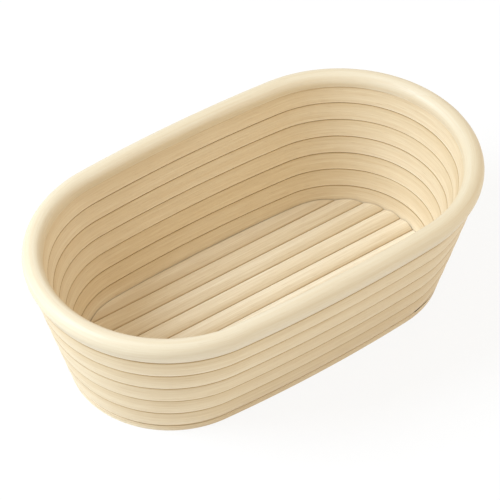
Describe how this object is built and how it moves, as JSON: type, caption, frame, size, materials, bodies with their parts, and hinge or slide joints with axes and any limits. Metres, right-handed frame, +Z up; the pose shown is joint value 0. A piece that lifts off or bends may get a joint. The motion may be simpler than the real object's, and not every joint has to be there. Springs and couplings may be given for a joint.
{
  "type": "proofing basket",
  "caption": "Oblong proofing basket of bent cane with a wound, outward-leaning wall, a thick rounded rim and a floor of straight canes, used to shape and prove bread dough.",
  "frame": {"origin": "on the table, under the middle of the basket", "axes": "+X along the basket's length, +Y across it, +Z up"},
  "size_m": [0.254, 0.15, 0.0791],
  "materials": {
    "rim_cane": "sanded bare cane",
    "wall_cane": "bare cane with fine lengthwise fibres",
    "floor_cane": "bare cane with fine lengthwise fibres",
    "foot_cane": "bare cane, sawn flat",
    "pin_steel": "drawn wire"
  },
  "bodies": {
    "root": {"rim_cane": "rim_cane", "wall_winding": "wall_cane", "outer_winding": "wall_cane", "foot_cane": "foot_cane", "floor_cane_1": "floor_cane", "floor_cane_2": "floor_cane", "floor_cane_3": "floor_cane", "floor_cane_4": "floor_cane", "floor_cane_5": "floor_cane", "floor_cane_6": "floor_cane", "floor_cane_7": "floor_cane", "floor_cane_8": "floor_cane", "floor_cane_9": "floor_cane", "wall_pin_1": "pin_steel", "wall_pin_2": "pin_steel", "wall_pin_3": "pin_steel", "wall_pin_4": "pin_steel", "wall_pin_5": "pin_steel", "wall_pin_6": "pin_steel", "wall_pin_7": "pin_steel", "wall_pin_8": "pin_steel", "wall_pin_9": "pin_steel", "wall_pin_10": "pin_steel", "wall_pin_11": "pin_steel", "wall_pin_12": "pin_steel", "wall_pin_13": "pin_steel", "wall_pin_14": "pin_steel", "wall_pin_15": "pin_steel", "wall_pin_16": "pin_steel", "wall_pin_17": "pin_steel", "wall_pin_18": "pin_steel", "rim_pin_1": "pin_steel", "rim_pin_2": "pin_steel", "rim_pin_3": "pin_steel", "rim_pin_4": "pin_steel", "foot_pin_1": "pin_steel", "foot_pin_2": "pin_steel", "foot_pin_3": "pin_steel", "foot_pin_4": "pin_steel", "floor_pin_1": "pin_steel", "floor_pin_2": "pin_steel", "floor_pin_3": "pin_steel", "floor_pin_4": "pin_steel", "floor_pin_5": "pin_steel", "floor_pin_6": "pin_steel", "floor_pin_7": "pin_steel", "floor_pin_8": "pin_steel", "floor_pin_9": "pin_steel", "floor_pin_10": "pin_steel", "floor_pin_11": "pin_steel", "floor_pin_12": "pin_steel", "floor_pin_13": "pin_steel", "floor_pin_14": "pin_steel", "floor_pin_15": "pin_steel", "floor_pin_16": "pin_steel", "floor_pin_17": "pin_steel", "floor_pin_18": "pin_steel"}
  },
  "joints": []
}
